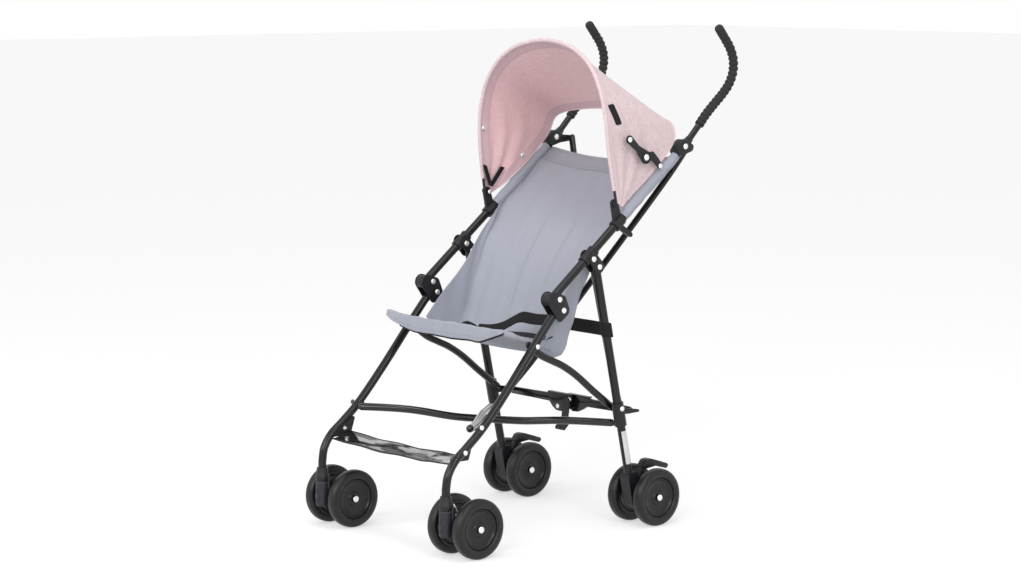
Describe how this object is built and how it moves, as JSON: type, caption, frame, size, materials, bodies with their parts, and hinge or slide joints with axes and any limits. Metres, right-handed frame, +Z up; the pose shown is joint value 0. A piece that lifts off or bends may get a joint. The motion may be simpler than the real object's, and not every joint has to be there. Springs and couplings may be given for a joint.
{
  "type": "compact umbrella stroller",
  "caption": "Compact folding umbrella stroller: black tube frame on twin-wheel feet, sling seat, tilting canopy, curved ribbed handles and a rear lock link.",
  "frame": {"origin": "on the floor, in the middle of the object's length and width", "axes": "+Z up, -Y towards the front (the way the child faces), +X the child's left"},
  "size_m": [0.5, 0.812, 1.03],
  "materials": {
    "black_steel": "satin powder coat",
    "black_plastic": "moulded, fine grain",
    "grip_rubber": "ribbed, matt",
    "tyre": "satin foam rubber",
    "seat_cloth": "plain woven polyester",
    "canopy_cloth": "heathered woven polyester",
    "black_webbing": "woven webbing",
    "black_vinyl": "glossy coated sheet"
  },
  "bodies": {
    "seat_and_cover": {"seat_back": "seat_cloth", "seat_base": "seat_cloth", "harness_strap": "black_webbing"},
    "push_frame_left": {"push_tube_left": "black_steel", "handle_joint_left": "black_plastic", "handle_shaft_left": "black_steel", "handle_grip_left": "grip_rubber", "rear_leg_bracket_left": "black_plastic", "canopy_clamp_left": "black_plastic"},
    "rear_leg_left": {"rear_leg_left": "black_steel", "rear_leg_sleeve_left": "black_plastic", "rear_axle_housing_left": "black_plastic"},
    "front_leg_left": {"front_leg_left": "black_steel", "knee_bracket_left": "black_plastic", "footrest_bracket_left": "black_plastic", "caster_collar_left": "black_plastic"},
    "seat_rail_left": {"seat_rail_left": "black_steel"},
    "back_brace_left": {"back_brace_left": "black_steel"},
    "lower_bar_left": {"lower_bar_left": "black_steel"},
    "lock_link_left": {"lock_link_left": "black_steel"},
    "caster_left": {"caster_fork_left": "black_plastic"},
    "front_wheel_left_outer": {"front_wheel_left_outer": "tyre"},
    "rear_wheel_left_outer": {"rear_wheel_left_outer": "tyre"},
    "front_wheel_left_inner": {"front_wheel_left_inner": "tyre"},
    "rear_wheel_left_inner": {"rear_wheel_left_inner": "tyre"},
    "brake_pedal_left": {"brake_pedal_left": "black_plastic"},
    "canopy_stretcher_lower_left": {"canopy_stretcher_lower_left": "black_plastic"},
    "canopy_stretcher_upper_left": {"canopy_stretcher_upper_left": "black_plastic"},
    "push_frame_right": {"push_tube_right": "black_steel", "handle_joint_right": "black_plastic", "handle_shaft_right": "black_steel", "handle_grip_right": "grip_rubber", "rear_leg_bracket_right": "black_plastic", "canopy_clamp_right": "black_plastic"},
    "rear_leg_right": {"rear_leg_right": "black_steel", "rear_leg_sleeve_right": "black_plastic", "rear_axle_housing_right": "black_plastic"},
    "front_leg_right": {"front_leg_right": "black_steel", "knee_bracket_right": "black_plastic", "footrest_bracket_right": "black_plastic", "caster_collar_right": "black_plastic"},
    "seat_rail_right": {"seat_rail_right": "black_steel"},
    "back_brace_right": {"back_brace_right": "black_steel"},
    "lower_bar_right": {"lower_bar_right": "black_steel"},
    "lock_link_right": {"lock_link_right": "black_steel"},
    "caster_right": {"caster_fork_right": "black_plastic"},
    "front_wheel_right_outer": {"front_wheel_right_outer": "tyre"},
    "rear_wheel_right_outer": {"rear_wheel_right_outer": "tyre"},
    "front_wheel_right_inner": {"front_wheel_right_inner": "tyre"},
    "rear_wheel_right_inner": {"rear_wheel_right_inner": "tyre"},
    "brake_pedal_right": {"brake_pedal_right": "black_plastic"},
    "canopy_stretcher_lower_right": {"canopy_stretcher_lower_right": "black_plastic"},
    "canopy_stretcher_upper_right": {"canopy_stretcher_upper_right": "black_plastic"},
    "footrest": {"footrest_strip": "black_vinyl"},
    "rear_strap": {"rear_strap": "black_webbing"},
    "canopy": {"canopy_bow": "black_steel", "canopy_shell": "canopy_cloth"},
    "lock_pedal": {"lock_pedal": "black_plastic"}
  },
  "joints": [
    {"name": "side_closing_left", "type": "slide", "parent": "seat_and_cover", "child": "push_frame_left", "axis": [-1, 0, 0], "range_m": [0, 0.1172]},
    {"name": "frame_fold", "type": "hinge", "parent": "push_frame_left", "child": "rear_leg_left", "pos_m": [0.2, 0.00195, 0.547], "axis": [-1, 0, 0], "range_deg": [0, 44], "deforming": ["seat_back", "seat_base", "harness_strap", "rear_strap", "footrest_strip", "canopy_shell", "canopy_bow"]},
    {"name": "front_leg_swing_left", "type": "hinge", "parent": "push_frame_left", "child": "front_leg_left", "pos_m": [0.2, -0.12305, 0.4865], "axis": [-1, 0, 0], "range_deg": [0, 110.2]},
    {"name": "seat_rail_swing_left", "type": "hinge", "parent": "rear_leg_left", "child": "seat_rail_left", "pos_m": [0.1805, 0.06608, 0.2495], "axis": [-1, 0, 0], "range_deg": [0, 0.479]},
    {"name": "back_brace_turn_left", "type": "hinge", "parent": "push_frame_left", "child": "back_brace_left", "pos_m": [0.1805, 0.28095, 0.778], "axis": [-0.6884, -0.6632, 0.2938], "range_deg": [0, 30.37]},
    {"name": "lower_bar_turn_left", "type": "hinge", "parent": "rear_leg_left", "child": "lower_bar_left", "pos_m": [0.174, 0.06993, 0.2154], "axis": [-0.6918, 0.0665, 0.719], "range_deg": [0, 43]},
    {"name": "lock_link_turn_left", "type": "hinge", "parent": "rear_leg_left", "child": "lock_link_left", "pos_m": [0.18, 0.11723, 0.237], "axis": [0, -1, 0], "range_deg": [0, 69.52]},
    {"name": "caster_swivel_left", "type": "hinge", "parent": "front_leg_left", "child": "caster_left", "pos_m": [0.2, -0.39255, 0.06], "axis": [0, 0, 1], "continuous": true},
    {"name": "front_wheel_spin_left_outer", "type": "hinge", "parent": "caster_left", "child": "front_wheel_left_outer", "pos_m": [0.238, -0.34305, 0.06], "axis": [1, 0, 0], "continuous": true},
    {"name": "rear_wheel_spin_left_outer", "type": "hinge", "parent": "rear_leg_left", "child": "rear_wheel_left_outer", "pos_m": [0.238, 0.13995, 0.06], "axis": [1, 0, 0], "continuous": true},
    {"name": "front_wheel_spin_left_inner", "type": "hinge", "parent": "caster_left", "child": "front_wheel_left_inner", "pos_m": [0.162, -0.34305, 0.06], "axis": [1, 0, 0], "continuous": true},
    {"name": "rear_wheel_spin_left_inner", "type": "hinge", "parent": "rear_leg_left", "child": "rear_wheel_left_inner", "pos_m": [0.162, 0.13995, 0.06], "axis": [1, 0, 0], "continuous": true},
    {"name": "brake_press_left", "type": "hinge", "parent": "rear_leg_left", "child": "brake_pedal_left", "pos_m": [0.2, 0.13097, 0.096], "axis": [-1, 0, 0], "range_deg": [0, 14]},
    {"name": "stretcher_lower_turn_left", "type": "hinge", "parent": "push_frame_left", "child": "canopy_stretcher_lower_left", "pos_m": [0.213, 0.16995, 0.743], "axis": [-1, 0, 0], "range_deg": [-66.8, 0]},
    {"name": "stretcher_upper_turn_left", "type": "hinge", "parent": "canopy_stretcher_lower_left", "child": "canopy_stretcher_upper_left", "pos_m": [0.213, 0.12695, 0.763], "axis": [-1, 0, 0], "range_deg": [0, 132.05]},
    {"name": "side_closing_right", "type": "slide", "parent": "seat_and_cover", "child": "push_frame_right", "axis": [1, 0, 0], "range_m": [0, 0.1172]},
    {"name": "rear_leg_swing_right", "type": "hinge", "parent": "push_frame_right", "child": "rear_leg_right", "pos_m": [-0.2, 0.00195, 0.547], "axis": [-1, 0, 0], "range_deg": [0, 44.1]},
    {"name": "front_leg_swing_right", "type": "hinge", "parent": "push_frame_right", "child": "front_leg_right", "pos_m": [-0.2, -0.12305, 0.4865], "axis": [-1, 0, 0], "range_deg": [0, 110.2]},
    {"name": "seat_rail_swing_right", "type": "hinge", "parent": "rear_leg_right", "child": "seat_rail_right", "pos_m": [-0.1805, 0.06608, 0.2495], "axis": [-1, 0, 0], "range_deg": [0, 0.479]},
    {"name": "back_brace_turn_right", "type": "hinge", "parent": "push_frame_right", "child": "back_brace_right", "pos_m": [-0.1805, 0.28095, 0.778], "axis": [-0.6884, 0.6632, -0.2938], "range_deg": [0, 30.37]},
    {"name": "lower_bar_turn_right", "type": "hinge", "parent": "rear_leg_right", "child": "lower_bar_right", "pos_m": [-0.174, 0.06993, 0.2154], "axis": [-0.6918, -0.0665, -0.719], "range_deg": [0, 43]},
    {"name": "lock_link_turn_right", "type": "hinge", "parent": "rear_leg_right", "child": "lock_link_right", "pos_m": [-0.18, 0.10973, 0.237], "axis": [0, 1, 0], "range_deg": [0, 69.52]},
    {"name": "caster_swivel_right", "type": "hinge", "parent": "front_leg_right", "child": "caster_right", "pos_m": [-0.2, -0.39255, 0.06], "axis": [0, 0, 1], "continuous": true},
    {"name": "front_wheel_spin_right_outer", "type": "hinge", "parent": "caster_right", "child": "front_wheel_right_outer", "pos_m": [-0.238, -0.34305, 0.06], "axis": [1, 0, 0], "continuous": true},
    {"name": "rear_wheel_spin_right_outer", "type": "hinge", "parent": "rear_leg_right", "child": "rear_wheel_right_outer", "pos_m": [-0.238, 0.13995, 0.06], "axis": [1, 0, 0], "continuous": true},
    {"name": "front_wheel_spin_right_inner", "type": "hinge", "parent": "caster_right", "child": "front_wheel_right_inner", "pos_m": [-0.162, -0.34305, 0.06], "axis": [1, 0, 0], "continuous": true},
    {"name": "rear_wheel_spin_right_inner", "type": "hinge", "parent": "rear_leg_right", "child": "rear_wheel_right_inner", "pos_m": [-0.162, 0.13995, 0.06], "axis": [1, 0, 0], "continuous": true},
    {"name": "brake_press_right", "type": "hinge", "parent": "rear_leg_right", "child": "brake_pedal_right", "pos_m": [-0.2, 0.13097, 0.096], "axis": [-1, 0, 0], "range_deg": [0, 14]},
    {"name": "stretcher_lower_turn_right", "type": "hinge", "parent": "push_frame_right", "child": "canopy_stretcher_lower_right", "pos_m": [-0.213, 0.16995, 0.743], "axis": [-1, 0, 0], "range_deg": [-66.8, 0]},
    {"name": "stretcher_upper_turn_right", "type": "hinge", "parent": "canopy_stretcher_lower_right", "child": "canopy_stretcher_upper_right", "pos_m": [-0.213, 0.12695, 0.763], "axis": [-1, 0, 0], "range_deg": [0, 132.05]},
    {"name": "footrest_swing", "type": "hinge", "parent": "seat_and_cover", "child": "footrest", "pos_m": [0, -0.12305, 0.4865], "axis": [-1, 0, 0], "range_deg": [0, 110.2]},
    {"name": "rear_strap_swing", "type": "hinge", "parent": "seat_and_cover", "child": "rear_strap", "pos_m": [0, 0.00195, 0.547], "axis": [-1, 0, 0], "range_deg": [0, 44.1]},
    {"name": "canopy_tilt", "type": "hinge", "parent": "seat_and_cover", "child": "canopy", "pos_m": [0, 0.05195, 0.672], "axis": [-1, 0, 0], "range_deg": [0, 30], "deforming": ["canopy_shell"]},
    {"name": "lock_pedal_swing", "type": "hinge", "parent": "lock_link_left", "child": "lock_pedal", "pos_m": [0, 0.10248, 0.237], "axis": [0, 1, 0], "range_deg": [0, 69.52]}
  ],
  "couplings": [
    {"joint": "side_closing_left", "follows": "frame_fold", "m_per_rad": 0.152},
    {"joint": "front_leg_swing_left", "follows": "frame_fold", "ratio": 2.5},
    {"joint": "seat_rail_swing_left", "follows": "frame_fold", "ratio": 0.00975},
    {"joint": "back_brace_turn_left", "follows": "frame_fold", "ratio": 0.68787},
    {"joint": "lower_bar_turn_left", "follows": "frame_fold", "ratio": 0.97494},
    {"joint": "lock_link_turn_left", "follows": "frame_fold", "ratio": 1.5777},
    {"joint": "stretcher_lower_turn_left", "follows": "canopy_tilt", "ratio": -2.225},
    {"joint": "stretcher_upper_turn_left", "follows": "canopy_tilt", "ratio": 4.4},
    {"joint": "side_closing_right", "follows": "frame_fold", "m_per_rad": 0.152},
    {"joint": "rear_leg_swing_right", "follows": "frame_fold", "ratio": 1},
    {"joint": "front_leg_swing_right", "follows": "frame_fold", "ratio": 2.5},
    {"joint": "seat_rail_swing_right", "follows": "frame_fold", "ratio": 0.00975},
    {"joint": "back_brace_turn_right", "follows": "frame_fold", "ratio": 0.68787},
    {"joint": "lower_bar_turn_right", "follows": "frame_fold", "ratio": 0.97494},
    {"joint": "lock_link_turn_right", "follows": "frame_fold", "ratio": 1.5777},
    {"joint": "stretcher_lower_turn_right", "follows": "canopy_tilt", "ratio": -2.225},
    {"joint": "stretcher_upper_turn_right", "follows": "canopy_tilt", "ratio": 4.4},
    {"joint": "footrest_swing", "follows": "frame_fold", "ratio": 2.5},
    {"joint": "rear_strap_swing", "follows": "frame_fold", "ratio": 1},
    {"joint": "lock_pedal_swing", "follows": "frame_fold", "ratio": 1.5777}
  ]
}
